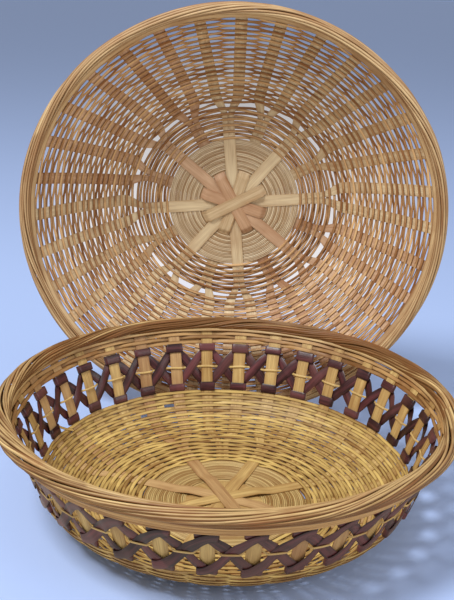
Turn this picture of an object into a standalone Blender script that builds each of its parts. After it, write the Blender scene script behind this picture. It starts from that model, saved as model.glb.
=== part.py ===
"""Lidded splint basket.

A round bowl woven from split bamboo stands on a flat base. Half way up its wall is an openwork
band of natural stakes crossed by dyed splints. Its lid is a wider, shallower woven dish. The lid
lies over the bowl mouth down, and here it stands on its edge behind the bowl, mouth to the front.
Eight long splints cross at the middle of each dish, and each end is split into two wall stakes.

The origin is the middle of the bowl's flat underside, +Z is up, and the front looks along -Y.
"""

import math

import bmesh
import bpy
from mathutils import Matrix, Vector
from mathutils.geometry import interpolate_bezier

# Driving dimensions, in metres
STAKES = 32
SPLINTS = STAKES // 4
BOWL_RIM_RADIUS = 0.115
BOWL_RIM_HEIGHT = 0.0606
BOWL_BASE_RADIUS = 0.0445
BOWL_FLOOR_RADIUS = 0.080
BAND_BOTTOM_RADIUS = 0.0990
BAND_BOTTOM_HEIGHT = 0.0230
BAND_TOP_HEIGHT = 0.0510
BOWL_STAKE_TOP = 0.0585
BOWL_TURN = math.radians(-3.9)
LID_RIM_RADIUS = 0.1265
LID_DEPTH = 0.0485
LID_BASE_RADIUS = 0.042
LID_KNEE_RADIUS = 0.076
LID_KNEE_HEIGHT = 0.0085
LID_FLOOR_RADIUS = 0.0640
LID_WALL_RADIUS = 0.0660
LID_WEAVERS = 19
GAP = 0.0003
WALL_STEPS = 24

# Splints, weaving and hoops
SPLINT_THICKNESS = 0.0005
SPLINT_WIDTH = 0.0080
STAKE_FOOT_WIDTH = 0.0038
STAKE_WIDTH = 0.0070
LID_STAKE_WIDTH = 0.0085
BASE_THICKNESS = 0.0018
WEAVE_THICKNESS = 0.0018
LID_WEAVER_WIDTH = 0.0034
LID_WEAVER_THICKNESS = 0.0010
DYED_WIDTH = 0.0048
DYED_THICKNESS = 0.00045
DYED_BAR_HALF = 0.0039
DYED_BEND = 0.0008
DYED_NEAR = 0.00095
TIE_RADIUS = 0.00045
TIE_BAR_HALF = 0.0042
TIE_SLANT = 0.0022
HUB_RADIUS = 0.024
SLOPE_RADIUS = 0.036
SLOPE_RISE = 0.35
FORK_RADIUS = 0.060
BORDER_HALF_WIDTH = 0.0046
BORDER_HALF_HEIGHT = 0.0037
BORDER_SHIFT = 0.0012
BUNDLE_HALF_WIDTH = 0.0020
BUNDLE_HALF_HEIGHT = 0.0048
HOOP_HALF_WIDTH = 0.0010
HOOP_HALF_HEIGHT = 0.0026
RIM_LEAN = -0.70
LID_HOOP_HALF_WIDTH = 0.0009
LID_HOOP_HALF_HEIGHT = 0.0022
LID_RIM_LEAN = -0.80

# The lid's places: standing behind the bowl, and shut over it
LID_LEAN = math.radians(4.0)
LID_STANDING_DISTANCE = 0.104
LID_SHUT_RIM_HEIGHT = 0.0611
LID_FLOOR_GAP = 0.0005
LID_BORDER_RADIUS = 0.0035

# Colours, as linear values
NATURAL = (0.56, 0.36, 0.15)
PALE = (0.66, 0.47, 0.23)
LID_NATURAL = (0.60, 0.40, 0.20)
DYED = (0.10, 0.035, 0.05)

PITCH = math.tau / STAKES
FLAT_TO_CORNER = 1.0 / math.cos(PITCH / 2)
SPLINT_LEVEL = BASE_THICKNESS + GAP + SPLINT_THICKNESS / 2
LAYER = SPLINT_THICKNESS + GAP
WEAVE_NEAR = SPLINT_THICKNESS / 2 + GAP
WEAVE_FAR = WEAVE_NEAR + WEAVE_THICKNESS
LID_WEAVER_FAR = WEAVE_NEAR + LID_WEAVER_THICKNESS


def clear_scene():
    for old in list(bpy.data.objects):
        bpy.data.objects.remove(old)


def new_collection(name):
    collection = bpy.data.collections.new(name)
    bpy.context.scene.collection.children.link(collection)
    return collection


def material(name, colour, roughness):
    made = bpy.data.materials.new(name)
    made.use_nodes = True
    shader = made.node_tree.nodes["Principled BSDF"]
    shader.inputs["Base Color"].default_value = (*colour, 1.0)
    shader.inputs["Roughness"].default_value = roughness
    shader.inputs["Metallic"].default_value = 0.0
    return made


class Wall:
    """A dish's wall, as the line that the middle of its stakes follows from the base to the rim."""

    def __init__(self, *curves):
        points = []
        for start, first, second, end in curves:
            ends = [Vector((r, z, 0.0)) for r, z in (start, first, second, end)]
            points += interpolate_bezier(*ends, WALL_STEPS + 1)[bool(points):]
        self.points = [Vector((p.x, p.y)) for p in points]
        self.lengths = [0.0]
        for a, b in zip(self.points, self.points[1:]):
            self.lengths.append(self.lengths[-1] + (b - a).length)

    def at(self, distance, offset=0.0):
        """(radius, height) at a distance along the wall, moved outwards by offset."""
        distance = min(max(distance, 0.0), self.lengths[-1])
        i = 0
        while i < len(self.points) - 2 and self.lengths[i + 1] < distance:
            i += 1
        a, b = self.points[i], self.points[i + 1]
        share = (distance - self.lengths[i]) / (self.lengths[i + 1] - self.lengths[i])
        run = (b - a).normalized()
        place = a.lerp(b, share) + offset * Vector((run.y, -run.x))
        return place.x, place.y

    def where(self, axis, value):
        """The distance along the wall at which the radius (axis 0) or the height (axis 1) is value."""
        for i, (a, b) in enumerate(zip(self.points, self.points[1:])):
            if a[axis] <= value <= b[axis] and b[axis] > a[axis]:
                share = (value - a[axis]) / (b[axis] - a[axis])
                return self.lengths[i] + share * (self.lengths[i + 1] - self.lengths[i])
        return self.lengths[-1]


def spread(low, high, count):
    return [low + (high - low) * i / (count - 1) for i in range(count)]


def add_object(name, data, colour, parent=None, place=Matrix.Identity(4)):
    made = bpy.data.objects.new(name, data)
    basket.objects.link(made)
    data.materials.append(colour)
    made.parent = parent
    made.matrix_world = place
    return made


def turned(name, outline, colour, parent=None, place=Matrix.Identity(4)):
    """A ring or disc: its outline, clockwise with the radius to the right, turned about Z.

    One flat lies behind each stake, so the corners are half a pitch away and stand out further.
    """
    closed = all(r > 0 for r, _ in outline)
    data = bpy.data.meshes.new(name)
    points = [(r * FLAT_TO_CORNER, 0.0, z) for r, z in outline]
    edges = [(i, i + 1) for i in range(len(points) - 1)]
    if closed:
        edges.append((len(points) - 1, 0))
    data.from_pydata(points, edges, [])
    made = add_object(name, data, colour, parent, place @ Matrix.Rotation(PITCH / 2, 4, "Z"))
    screw = made.modifiers.new("Turn", "SCREW")
    screw.angle = math.tau
    screw.steps = STAKES
    screw.render_steps = STAKES
    screw.use_merge_vertices = True
    screw.merge_threshold = 0.00001
    screw.use_smooth_shade = True
    return made


def weave(name, wall, stations, start, end, colour, parent=None, place=Matrix.Identity(4), far=WEAVE_FAR):
    """A closed woven skin just outside the stakes, bent where they are, between two distances."""
    steps = [start, *(s for s in stations if start + GAP * 1.5 < s < end - GAP * 1.5), end]
    outline = [wall.at(s, far) for s in reversed(steps)]
    outline += [wall.at(s, WEAVE_NEAR) for s in steps]
    return turned(name, outline, colour, parent, place)


def oval(centre, half_width, half_height, lean=0.0, corners=8):
    """Corners of an oval, clockwise, with its first half width along the lean."""
    points = []
    for i in range(corners):
        turn = -math.tau * (i + 0.5) / corners
        across = half_width * math.cos(turn)
        along = half_height * math.sin(turn)
        r = centre[0] + across * math.cos(lean) - along * math.sin(lean)
        z = centre[1] + across * math.sin(lean) + along * math.cos(lean)
        points.append((r, z))
    return points


def splint_with_stakes(name, wall, stations, layer, angle, stake_width, colour, parent=None,
                       place=Matrix.Identity(4)):
    """One splint across the base, whose two ends are split into two wall stakes each.

    Its flat surface is a ladder of faces: the whole splint, then a fork at each end. Solidify gives
    it its thickness. At the hub the splints lie on each other, so each has a layer of its own.
    """
    whole = [wall.at(s) for s in stations if wall.at(s)[0] < FORK_RADIUS]
    rise = layer * LAYER
    middle = [(HUB_RADIUS, SPLINT_LEVEL + rise), (SLOPE_RADIUS, SPLINT_LEVEL + SLOPE_RISE * rise), *whole]
    data = bpy.data.meshes.new(name)
    mesh = bmesh.new()

    def row(along, height, turn, offsets):
        made = []
        for across in offsets:
            flat = Vector((along, across, height))
            made.append(mesh.verts.new(Matrix.Rotation(turn, 4, "Z") @ flat))
        return made

    def ladder(rows):
        for low, high in zip(rows, rows[1:]):
            for i in range(len(low) - 1):
                mesh.faces.new((low[i], high[i], high[i + 1], low[i + 1]))

    half = SPLINT_WIDTH / 2
    across = [row(-x, height, 0.0, (half, 0.0, -half)) for x, height in reversed(middle)]
    across += [row(x, height, 0.0, (half, 0.0, -half)) for x, height in middle]
    ladder(across)
    for end, fork in ((0.0, across[-1]), (math.pi, across[0][::-1])):
        for side in (0, 1):
            turn = end + PITCH / 2 * (1 - 2 * side)
            ends = fork[side:side + 2]
            rows = [ends]
            for i, s in enumerate(stations[len(whole):]):
                r, z = wall.at(s)
                grown = min(1.0, (i + 1) / 2)
                wide = STAKE_FOOT_WIDTH + (stake_width - STAKE_FOOT_WIDTH) * grown
                rows.append(row(r, z, turn, (wide / 2, -wide / 2)))
            ladder(rows)
    bmesh.ops.recalc_face_normals(mesh, faces=mesh.faces)
    mesh.to_mesh(data)
    mesh.free()
    made = add_object(name, data, colour, parent, place @ Matrix.Rotation(angle, 4, "Z"))
    skin = made.modifiers.new("Thickness", "SOLIDIFY")
    skin.thickness = SPLINT_THICKNESS
    skin.offset = 0.0
    return made


def dyed_splint(name, wall, phase, layers, colour, place):
    """A dyed splint that runs round the band and wraps each stake: high on one, low on the next.

    It rises or falls outside the stakes to a stake's right edge, crosses inside the stake as a
    level bar, and leaves outside it from the left edge. It takes the two outer layers in turn, so
    that it stays clear of itself and of the other splint. Its edges lie straight above each other.
    """
    low = wall.where(1, BAND_BOTTOM_HEIGHT) + DYED_WIDTH / 2 + GAP
    high = wall.where(1, BAND_TOP_HEIGHT) - DYED_WIDTH / 2 - GAP
    middle = (low + high) / 2
    radius = wall.at(middle)[0]
    pitch = PITCH * radius
    inside = -SPLINT_THICKNESS / 2 - GAP - DYED_THICKNESS / 2
    slope = math.atan2(high - low, pitch + 2 * DYED_BAR_HALF)
    half = DYED_WIDTH / 2
    bend = DYED_BAR_HALF + DYED_BEND
    data = bpy.data.meshes.new(name)
    mesh = bmesh.new()
    rows = []
    for stake in range(STAKES):
        level = (high, low)[(stake + phase) % 2]
        leaving = layers[(stake + phase) % 2]
        arriving = layers[(stake + phase + 1) % 2]
        path = [
            (DYED_BAR_HALF, level, arriving, half),
            (bend, level, (arriving + inside) / 2, half),
            (DYED_BAR_HALF, level, inside, half),
            (-DYED_BAR_HALF, level, inside, half),
            (-bend, level, (leaving + inside) / 2, half),
            (-DYED_BAR_HALF, level, leaving, half),
            (pitch / 2, middle, leaving, half / math.cos(slope)),
        ]
        for along, distance, offset, reach in path:
            turn = stake * PITCH + along / radius
            ends = []
            for edge in (distance + reach, distance - reach):
                r, z = wall.at(edge, offset)
                ends.append(mesh.verts.new((r * math.cos(turn), r * math.sin(turn), z)))
            rows.append(ends)
    for a, b in zip(rows, rows[1:] + rows[:1]):
        mesh.faces.new((a[1], b[1], b[0], a[0]))
    mesh.to_mesh(data)
    mesh.free()
    made = add_object(name, data, colour, None, place)
    skin = made.modifiers.new("Thickness", "SOLIDIFY")
    skin.thickness = DYED_THICKNESS
    skin.offset = 0.0
    return made


def tie_strand(name, wall, inside, outside, colour, place):
    """A thin round strand that passes inside each stake and outside each crossing of the splints."""
    level = (wall.where(1, BAND_BOTTOM_HEIGHT) + wall.where(1, BAND_TOP_HEIGHT)) / 2
    radius = wall.at(level)[0]
    curve = bpy.data.curves.new(name, "CURVE")
    curve.dimensions = "3D"
    curve.bevel_depth = TIE_RADIUS
    curve.bevel_resolution = 0
    spline = curve.splines.new("POLY")
    bend = TIE_BAR_HALF + TIE_SLANT
    places = [(-TIE_BAR_HALF, inside), (TIE_BAR_HALF, inside), (bend, outside)]
    places.append((PITCH * radius - bend, outside))
    spline.points.add(STAKES * len(places) - 1)
    for i in range(STAKES):
        for j, (along, offset) in enumerate(places):
            r, z = wall.at(level, offset)
            turn = i * PITCH + along / radius
            spline.points[i * len(places) + j].co = (r * math.cos(turn), r * math.sin(turn), z, 1.0)
    spline.use_cyclic_u = True
    return add_object(name, curve, colour, None, place)


def disc(name, radius, colour, parent=None, place=Matrix.Identity(4)):
    """The flat woven base: a plate of fine strands."""
    outline = [(0.0, BASE_THICKNESS), (radius, BASE_THICKNESS), (radius, 0.0), (0.0, 0.0)]
    return turned(name, outline, colour, parent, place)


def lid_in_place(distance, height, turn):
    """Matrix that puts the lid's own frame, mouth up, with its rim's middle at (0, distance, height)."""
    to_rim = Matrix.Translation((0.0, 0.0, -LID_DEPTH))
    return Matrix.Translation((0.0, distance, height)) @ Matrix.Rotation(turn, 4, "X") @ to_rim


def lid_hinge_line(standing, shut, swing):
    """Point (y, z) about which a turn of swing round X carries the standing lid to its shut place."""
    turn = Matrix.Rotation(swing, 2)
    return (Matrix.Identity(2) - turn).inverted() @ (Vector(shut) - turn @ Vector(standing))


def build_bowl():
    shoulder = (BAND_BOTTOM_RADIUS, BAND_BOTTOM_HEIGHT)
    wall = Wall(
        ((0.0435, SPLINT_LEVEL), (0.073, SPLINT_LEVEL), (0.092, 0.0065), shoulder),
        (shoulder, (0.1024, 0.033), (0.1055, 0.047), (BOWL_RIM_RADIUS, BOWL_RIM_HEIGHT)),
    )
    natural = material("natural_bamboo", NATURAL, 0.55)
    pale = material("pale_bamboo", PALE, 0.5)
    dyed = material("dyed_bamboo", DYED, 0.5)
    band_bottom = wall.where(1, BAND_BOTTOM_HEIGHT)
    band_top = wall.where(1, BAND_TOP_HEIGHT)
    stake_top = wall.where(1, BOWL_STAKE_TOP)

    foot = wall.where(0, BOWL_BASE_RADIUS + GAP)
    bend = wall.where(0, BOWL_FLOOR_RADIUS)
    stations = spread(foot, bend, 4)
    stations += spread(bend, band_bottom, 5)[1:]
    stations += spread(band_bottom, band_top, 3)[1:]
    stations += spread(band_top, stake_top, 3)[1:]

    place = Matrix.Rotation(BOWL_TURN, 4, "Z")
    disc("base_disc", BOWL_BASE_RADIUS, natural, None, place)
    for i in range(SPLINTS):
        angle = (i * 2 + 0.5) * PITCH
        name = f"base_splint_{i + 1}"
        splint_with_stakes(name, wall, stations, i, angle, STAKE_WIDTH, pale, None, place)
    weave("base_weave", wall, stations, foot, bend - GAP, natural, None, place)
    weave("lower_weave", wall, stations, bend + GAP, band_bottom - GAP, natural, None, place)
    weave("upper_weave", wall, stations, band_top + GAP, stake_top, natural, None, place)

    layers = (DYED_NEAR, DYED_NEAR + DYED_THICKNESS + GAP)
    dyed_splint("band_splint_a", wall, 0, layers, dyed, place)
    dyed_splint("band_splint_b", wall, 1, layers, dyed, place)
    inside = -SPLINT_THICKNESS / 2 - 1.5 * GAP - TIE_RADIUS
    outside = layers[1] + DYED_THICKNESS / 2 + 1.5 * GAP + TIE_RADIUS
    tie_strand("band_tie_strand", wall, inside, outside, pale, place)

    bundle_middle = wall.lengths[-1] + 2 * GAP - BUNDLE_HALF_HEIGHT
    bundle = wall.at(bundle_middle, WEAVE_FAR + GAP + BUNDLE_HALF_WIDTH)
    bundle = oval(bundle, BUNDLE_HALF_WIDTH, BUNDLE_HALF_HEIGHT, RIM_LEAN)
    turned("rim_outer_hoop", bundle, natural, None, place)
    hoop = wall.at(stake_top - HOOP_HALF_HEIGHT - GAP, -WEAVE_NEAR - HOOP_HALF_WIDTH)
    hoop = oval(hoop, HOOP_HALF_WIDTH, HOOP_HALF_HEIGHT, RIM_LEAN, 6)
    turned("rim_inner_hoop", hoop, natural, None, place)
    border = (BOWL_RIM_RADIUS + BORDER_SHIFT, BOWL_RIM_HEIGHT + BORDER_SHIFT)
    border = oval(border, BORDER_HALF_WIDTH, BORDER_HALF_HEIGHT)
    turned("rim_border", border, natural, None, place)


def build_lid():
    knee = (LID_KNEE_RADIUS, LID_KNEE_HEIGHT)
    wall = Wall(
        ((0.041, SPLINT_LEVEL), (0.060, SPLINT_LEVEL), (0.068, 0.0035), knee),
        (knee, (0.092, 0.0185), (0.112, 0.0345), (LID_RIM_RADIUS, LID_DEPTH)),
    )
    natural = material("lid_bamboo", LID_NATURAL, 0.55)
    pale = material("lid_pale_bamboo", PALE, 0.5)
    standing_height = LID_RIM_RADIUS * math.cos(LID_LEAN) + LID_BORDER_RADIUS + LID_FLOOR_GAP
    swing = math.pi / 2 - LID_LEAN
    pivot = lid_hinge_line((LID_STANDING_DISTANCE, standing_height), (0.0, LID_SHUT_RIM_HEIGHT), swing)
    axis = bpy.data.objects.new("lid_swing_axis", None)
    basket.objects.link(axis)
    axis.location = (0.0, pivot[0], pivot[1])
    bpy.context.view_layer.update()
    place = lid_in_place(LID_STANDING_DISTANCE, standing_height, math.pi - swing)

    rim = wall.lengths[-1]
    foot = wall.where(0, LID_BASE_RADIUS + GAP)
    floor_end = wall.where(0, LID_FLOOR_RADIUS)
    wall_start = wall.where(0, LID_WALL_RADIUS)
    bend = wall.where(0, LID_KNEE_RADIUS)
    top = rim - LID_BORDER_RADIUS - GAP
    stations = spread(foot, bend, 5) + spread(bend, top, 6)[1:]

    disc("lid_base_disc", LID_BASE_RADIUS, natural, axis, place)
    for i in range(SPLINTS):
        angle = (i * 2 + 0.5) * PITCH
        name = f"lid_splint_{i + 1}"
        splint_with_stakes(name, wall, stations, i, angle, LID_STAKE_WIDTH, pale, axis, place)
    weave("lid_floor_weave", wall, stations, foot, floor_end, natural, axis, place)
    step = (top - LID_WEAVER_WIDTH - wall_start) / (LID_WEAVERS - 1)
    for i in range(LID_WEAVERS):
        low = wall_start + i * step
        high = low + LID_WEAVER_WIDTH
        name = f"lid_weaver_{i + 1}"
        weave(name, wall, stations, low, high, natural, axis, place, LID_WEAVER_FAR)
    hoop = wall.at(top - LID_HOOP_HALF_HEIGHT, -WEAVE_NEAR - LID_HOOP_HALF_WIDTH)
    hoop = oval(hoop, LID_HOOP_HALF_WIDTH, LID_HOOP_HALF_HEIGHT, LID_RIM_LEAN, 6)
    turned("lid_rim_inner_hoop", hoop, natural, axis, place)
    border = oval(wall.at(rim), LID_BORDER_RADIUS, LID_BORDER_RADIUS)
    turned("lid_rim_border", border, natural, axis, place)


clear_scene()
basket = new_collection("lidded_wicker_basket")
build_bowl()
build_lid()
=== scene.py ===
"""Looks of the lidded splint basket: every splint, weaver and strand of split bamboo.

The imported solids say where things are. Each of them is replaced by the strips that the real piece
is made of, and each strip is a section carried along a line that numpy works out. Lengths are in
metres. A dish is made mouth up, as a turn round it, a distance up its wall from the middle of the
base, and an offset outwards from the line that its stakes follow.
"""

import math

import bpy
import numpy as np
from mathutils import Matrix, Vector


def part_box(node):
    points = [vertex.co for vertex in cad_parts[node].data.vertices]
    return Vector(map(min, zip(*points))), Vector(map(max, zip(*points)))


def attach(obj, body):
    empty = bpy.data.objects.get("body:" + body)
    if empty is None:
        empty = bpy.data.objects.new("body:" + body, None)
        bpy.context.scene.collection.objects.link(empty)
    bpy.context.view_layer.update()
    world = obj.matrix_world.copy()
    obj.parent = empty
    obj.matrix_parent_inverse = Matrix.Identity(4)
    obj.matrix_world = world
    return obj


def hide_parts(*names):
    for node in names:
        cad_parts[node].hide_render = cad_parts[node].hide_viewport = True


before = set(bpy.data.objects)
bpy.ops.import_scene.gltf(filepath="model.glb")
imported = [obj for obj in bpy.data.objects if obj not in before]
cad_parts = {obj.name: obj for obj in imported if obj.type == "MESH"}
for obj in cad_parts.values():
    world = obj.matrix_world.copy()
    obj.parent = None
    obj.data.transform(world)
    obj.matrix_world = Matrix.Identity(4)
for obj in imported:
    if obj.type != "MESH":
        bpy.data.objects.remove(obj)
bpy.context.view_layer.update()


# Camera
# A short telephoto view from in front and a little above, at the photograph's angle. The view is
# tilted by two degrees, as the photograph is.
VIEW_FROM = (-0.0022, -0.4488, 0.2676)
VIEW_TO = (-0.0022, 0.0, 0.1168)
VIEW_ROLL = math.radians(2.0)
FOCAL_LENGTH = 56.0


def look(start, end):
    """The turn, as Euler angles, that points the -Z of a lamp or camera from start to end."""
    way = np.subtract(end, start)
    return (math.atan2(math.hypot(way[0], way[1]), -way[2]), 0.0, math.atan2(-way[0], way[1]))


camera = bpy.data.objects.new("camera", bpy.data.cameras.new("camera"))
camera.data.lens = FOCAL_LENGTH
camera.location = VIEW_FROM
camera.rotation_euler = look(VIEW_FROM, VIEW_TO)
camera.rotation_euler.rotate_axis("Z", VIEW_ROLL)
bpy.context.scene.collection.objects.link(camera)
bpy.context.scene.camera = camera
bpy.context.scene.view_settings.view_transform = "Standard"


# The bowl's base splints and stakes
# Eight flat strips of split bamboo cross at the middle of the base. Past the edge of the base each
# end is slit in two, and the halves bend up and spread out as two of the 32 wall stakes.
STAKES = 32
RAYS = STAKES // 2
PITCH = math.tau / STAKES
BOWL_TURN = math.radians(-3.9)
FLOOR_LEVEL = 0.00115
BASE_EDGE = (0.0435, FLOOR_LEVEL)
SHOULDER = (0.0990, 0.0230)
BOWL_RIM = (0.115, 0.0606)
BAND_TOP_HEIGHT = 0.0510
STAKE_TOP_HEIGHT = 0.0600
WALL_STATIONS = 97
SPLINT_THICKNESS = 0.0005
SPLINT_WIDTH = 0.0076
BOWL_STAKE_WIDTH = 0.0072
SLIT_WIDTH = 0.0002
STAKE_NUDGE = 0.0004
RAY_STATIONS = 81
STAKE_STEP = 0.0016
RAY_LIFT = 0.00045
HUB_LAYER = 0.0003

# Distances from the middle of the base: the hub's layers come down to one level, short splints dive
# under the strands, all settle on the wall's line, each end is slit, and its halves spread.
HUB_FLAT = 0.018
HUB_END = 0.030
DIVE_FROM = 0.0185
DIVE_TO = 0.0225
SETTLE_FROM = 0.044
SETTLE_TO = 0.052
SLIT_FROM = 0.047
SPREAD_FROM = 0.062
SPREAD_TO = 0.079

# Sections, in half widths and half thicknesses: a narrow weaver with eased edges, and a wide splint
# with square ones.
FLAT = np.array([(-1, 0), (-0.86, 0.85), (0, 1), (0.86, 0.85),
                 (1, 0), (0.86, -0.85), (0, -1), (-0.86, -0.85)])
BOARD = np.array([(-1, -0.7), (-1, 0.7), (0, 1), (1, 0.7), (1, -0.7), (0, -1)])

# The angle from which an edge stays sharp, and the length along the grain in which a strip starts.
SHARP_EDGE = math.radians(50.0)
GRAIN_STARTS = 10.0


class Wall:
    """The line that the middle of a dish's stakes follows, from the middle of the base to the rim.

    Each stretch is a Bezier curve in radius and height, and the line is read by its own length.
    """

    def __init__(self, *stretches):
        t = np.linspace(0.0, 1.0, WALL_STATIONS)[:, None]
        u = 1 - t
        runs = [u**3 * a + 3 * u**2 * t * b + 3 * u * t**2 * c + t**3 * d
                for a, b, c, d in np.array(stretches)]
        self.line = np.concatenate([runs[0]] + [run[1:] for run in runs[1:]])
        step = np.diff(self.line, axis=0)
        self.length = np.concatenate([[0.0], np.cumsum(np.hypot(step[:, 0], step[:, 1]))])
        way = np.gradient(self.line, self.length, axis=0)
        way /= np.hypot(way[:, 0], way[:, 1])[:, None]
        self.normal = np.stack([way[:, 1], -way[:, 0]], axis=1)

    def at(self, distance, offset=0.0):
        """Radius and height at a distance along the line, moved outwards by offset."""
        radius, height = (np.interp(distance, self.length, self.line[:, i]) for i in (0, 1))
        out, down = (np.interp(distance, self.length, self.normal[:, i]) for i in (0, 1))
        return radius + offset * out, height + offset * down

    def where(self, axis, value):
        """The distance at which the radius (axis 0) or the height (axis 1) reaches value."""
        return float(np.interp(value, self.line[:, axis], self.length))


def on_wall(wall, turn, distance, offset=0.0):
    """Points at a turn about Z, a distance up the wall and an offset outwards."""
    turn, distance, offset = np.broadcast_arrays(turn, distance, offset)
    radius, height = wall.at(distance, offset)
    return np.stack([radius * np.cos(turn), radius * np.sin(turn), height], axis=-1)


def smooth(low, high, value):
    """0 below low, 1 above high, and a smooth rise between."""
    share = np.clip((value - low) / (high - low), 0.0, 1.0)
    return share * share * (3 - 2 * share)


def strip(middle, across, up, tone, closed=False, section=FLAT):
    """A splint's skin: at each point of its middle line, the section's corners lie at
    middle + first number x across + second number x up."""
    way = np.gradient(middle, axis=0)
    if np.sum(np.cross(way, across) * up) < 0:
        across = -across
    points = middle[:, None] + section[:, :1] * across[:, None] + section[:, 1:] * up[:, None]
    tone = np.broadcast_to(tone, len(middle))
    return {"points": points, "tone": tone, "closed": closed, "section": section}


def faces_of(skin, start):
    """A strip's faces: quads between neighbouring sections, and a cap on each open end.

    It gives the number of each corner, the count of corners of each face, and each corner's place in
    the map "grain": its length along the strip and round the section, both counted from start.
    """
    points = skin["points"]
    n, k = points.shape[:2]
    i, j = np.meshgrid(np.arange(n if skin["closed"] else n - 1), np.arange(k), indexing="ij")
    next_i = (i + 1) % n
    next_j = (j + 1) % k
    quads = np.stack([i * k + j, next_i * k + j, next_i * k + next_j, i * k + next_j], axis=-1)
    edge = points[:, 0]
    if skin["closed"]:
        edge = np.concatenate([edge, edge[:1]])
    along = np.concatenate([[0.0], np.cumsum(np.linalg.norm(np.diff(edge, axis=0), axis=1))])
    sides = np.linalg.norm(np.roll(points, -1, axis=1) - points, axis=2).mean(axis=0)
    around = np.concatenate([[0.0], np.cumsum(sides)])
    u = start + np.stack([along[i], along[i + 1], along[i + 1], along[i]], axis=-1)
    v = start + np.stack([around[j], around[j], around[j + 1], around[j + 1]], axis=-1)
    corners = [quads.reshape(-1)]
    counts = [np.full(quads.size // 4, 4)]
    grain = [np.stack([u, v], axis=-1).reshape(-1, 2)]
    if not skin["closed"]:
        for cap, end in ((np.arange(k)[::-1], 0), (np.arange(k) + (n - 1) * k, n - 1)):
            corners.append(cap)
            counts.append([k])
            grain.append(np.stack([np.full(k, start + along[end]), start + around[:k]], axis=-1))
    return np.concatenate(corners), np.concatenate(counts), np.concatenate(grain)


def piece(name, strips, surface, body, place, seed):
    """One mesh of many strips, which replaces the node of its name.

    The map "grain" runs along each strip and across it, in metres, from a start of its own. The
    attribute "tone" is the splint's paleness, and "edge" goes from 0 in its middle to 1 at its edges.
    """
    rng = np.random.default_rng(seed)
    points = np.concatenate([skin["points"].reshape(-1, 3) for skin in strips])
    points = points @ place[:3, :3].T + place[:3, 3]
    tones = [np.repeat(skin["tone"], len(skin["section"])) for skin in strips]
    edges = [np.tile(np.abs(skin["section"][:, 0]), len(skin["points"])) for skin in strips]
    corners, counts, grain = [], [], []
    first = 0
    for skin in strips:
        numbers, sizes, lengths = faces_of(skin, rng.uniform(0.0, GRAIN_STARTS))
        corners.append(numbers + first)
        counts.append(sizes)
        grain.append(lengths)
        first += skin["points"].size // 3
    corners = np.concatenate(corners)
    counts = np.concatenate(counts)
    starts = np.cumsum(counts) - counts
    mesh = bpy.data.meshes.new(name)
    mesh.vertices.add(len(points))
    mesh.vertices.foreach_set("co", points.astype(np.float32).ravel())
    mesh.loops.add(len(corners))
    mesh.loops.foreach_set("vertex_index", corners.astype(np.int32))
    mesh.polygons.add(len(starts))
    mesh.polygons.foreach_set("loop_start", starts.astype(np.int32))
    mesh.update(calc_edges=True)
    grain_map = mesh.uv_layers.new(name="grain")
    grain_map.data.foreach_set("uv", np.concatenate(grain).astype(np.float32).ravel())
    for label, values in (("tone", tones), ("edge", edges)):
        attribute = mesh.attributes.new(label, "FLOAT", "POINT")
        attribute.data.foreach_set("value", np.concatenate(values).astype(np.float32))
    mesh.shade_smooth()
    mesh.set_sharp_from_angle(angle=SHARP_EDGE)
    mesh.materials.append(surface)
    made = bpy.data.objects.new(name, mesh)
    bpy.context.scene.collection.objects.link(made)
    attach(made, body)
    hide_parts(name)


def link_in(tree, socket, source):
    """Joins a node's output to a socket, or sets the socket where the source is a plain value."""
    if isinstance(source, bpy.types.NodeSocket):
        tree.links.new(source, socket)
    else:
        socket.default_value = source


def node(tree, kind, inputs=(), **settings):
    """A new node with its settings, and its inputs given by number or name."""
    made = tree.nodes.new(kind)
    for name, value in settings.items():
        setattr(made, name, value)
    for key, source in dict(inputs).items():
        link_in(tree, made.inputs[key], source)
    return made


def mixed(tree, share, first, second):
    """The colour between two colours."""
    return node(tree, "ShaderNodeMix", {0: share, 6: first, 7: second}, data_type="RGBA").outputs[2]


def reckoned(tree, operation, first, second, clamp=False):
    """The result of a sum, product or other reckoning of two numbers."""
    made = node(tree, "ShaderNodeMath", {0: first, 1: second}, operation=operation, use_clamp=clamp)
    return made.outputs[0]


def ranged(tree, value, low, high, start=0.0, end=1.0):
    """Start where the value is low, end where it is high, and in proportion between."""
    made = node(tree, "ShaderNodeMapRange", {0: value, 1: low, 2: high, 3: start, 4: end})
    return made.outputs[0]


def stretched(tree, place, scale):
    """A place with each of its axes stretched by its own number."""
    return node(tree, "ShaderNodeMapping", {"Vector": place, "Scale": scale}).outputs[0]


def noise(tree, place, scale, detail):
    """Noise about 0.5, with so many waves to a metre."""
    made = node(tree, "ShaderNodeTexNoise", {"Vector": place, "Scale": scale, "Detail": detail})
    return made.outputs[0]


# Waves to a metre: fibres and streaks along a splint and across it, blotches in all directions, and
# browner lengths of a splint.
FIBRE_SCALE = (60.0, 2600.0, 1.0)
STREAK_SCALE = (45.0, 500.0, 1.0)
BLOTCH_SCALE = 55.0
LENGTHS_SCALE = 14.0
STAIN_FROM = 0.48
STAIN_TO = 0.64
FIBRE_RANGE = (0.25, 0.75)
SMOOTH_ROUGHNESS = 0.42
FIBROUS_ROUGHNESS = 0.62
STREAK_HEIGHT = 0.6


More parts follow.
